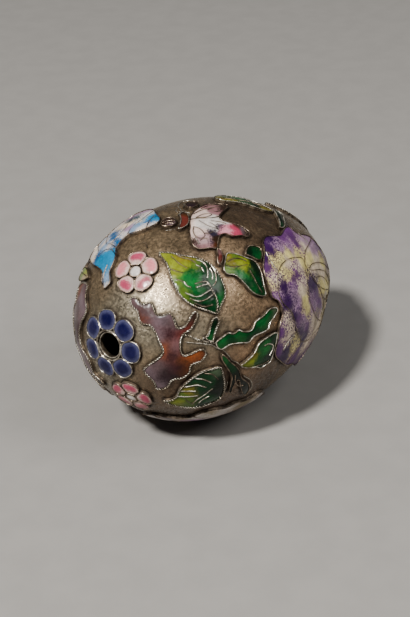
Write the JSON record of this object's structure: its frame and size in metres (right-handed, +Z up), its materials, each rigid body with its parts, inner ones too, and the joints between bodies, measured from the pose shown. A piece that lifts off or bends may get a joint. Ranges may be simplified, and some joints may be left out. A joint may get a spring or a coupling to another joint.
{
  "type": "cloisonne egg",
  "caption": "Hollow metal egg lying on its side, with raised cloisonne enamel flowers, leaves, rock, bird and butterfly, and a round hole in its blunt end.",
  "frame": {"origin": "the flat spot that it rests on, under the white peony", "axes": "+Z up as it lies; -X is the side of the blunt end with the hole, whose axis rises about 8 degrees from -X; -Y is the side with the big leaf and the purple peony"},
  "size_m": [0.0788, 0.0536, 0.0539],
  "materials": {
    "shell_metal": "tarnished silvering, finely speckled",
    "ring_wire": "rubbed silvering",
    "enamel_blue": "glossy fired enamel",
    "enamel_sky": "glossy fired enamel",
    "enamel_pink": "glossy fired enamel",
    "enamel_blush": "glossy fired enamel",
    "enamel_green": "glossy fired enamel",
    "enamel_dark_green": "glossy fired enamel",
    "enamel_lime": "glossy fired enamel",
    "enamel_mauve": "glossy fired enamel",
    "enamel_brown": "glossy fired enamel",
    "enamel_purple": "glossy fired enamel",
    "enamel_white": "glossy fired enamel"
  },
  "bodies": {
    "root": {"egg_shell": "shell_metal", "hole_ring": "ring_wire", "blue_flower": "enamel_blue", "pink_blossom_upper": "enamel_pink", "pink_blossom_lower": "enamel_pink", "big_leaf": "enamel_green", "peony_leaf": "enamel_green", "small_dark_leaf": "enamel_dark_green", "wavy_leaf": "enamel_green", "curled_leaf": "enamel_dark_green", "lower_leaf": "enamel_dark_green", "leaf_stem": "enamel_dark_green", "forked_stem": "enamel_dark_green", "rock": "enamel_mauve", "red_bud": "enamel_brown", "butterfly_wings": "enamel_blush", "butterfly_body": "enamel_brown", "butterfly_hind_wing": "enamel_brown", "butterfly_far_wing": "enamel_mauve", "bluebird": "enamel_sky", "small_lime_leaf": "enamel_lime", "back_rock": "enamel_mauve", "top_leaf": "enamel_lime", "top_stem": "enamel_dark_green", "purple_peony": "enamel_purple", "white_peony": "enamel_white", "back_peony": "enamel_purple", "back_leaf_upper": "enamel_green", "back_leaf_lower": "enamel_green", "back_blossom_high": "enamel_pink", "back_blossom_low": "enamel_pink", "back_leaf_tail": "enamel_green", "tail_leaf": "enamel_dark_green", "tail_blossom": "enamel_pink", "underside_leaf": "enamel_green"}
  },
  "joints": []
}
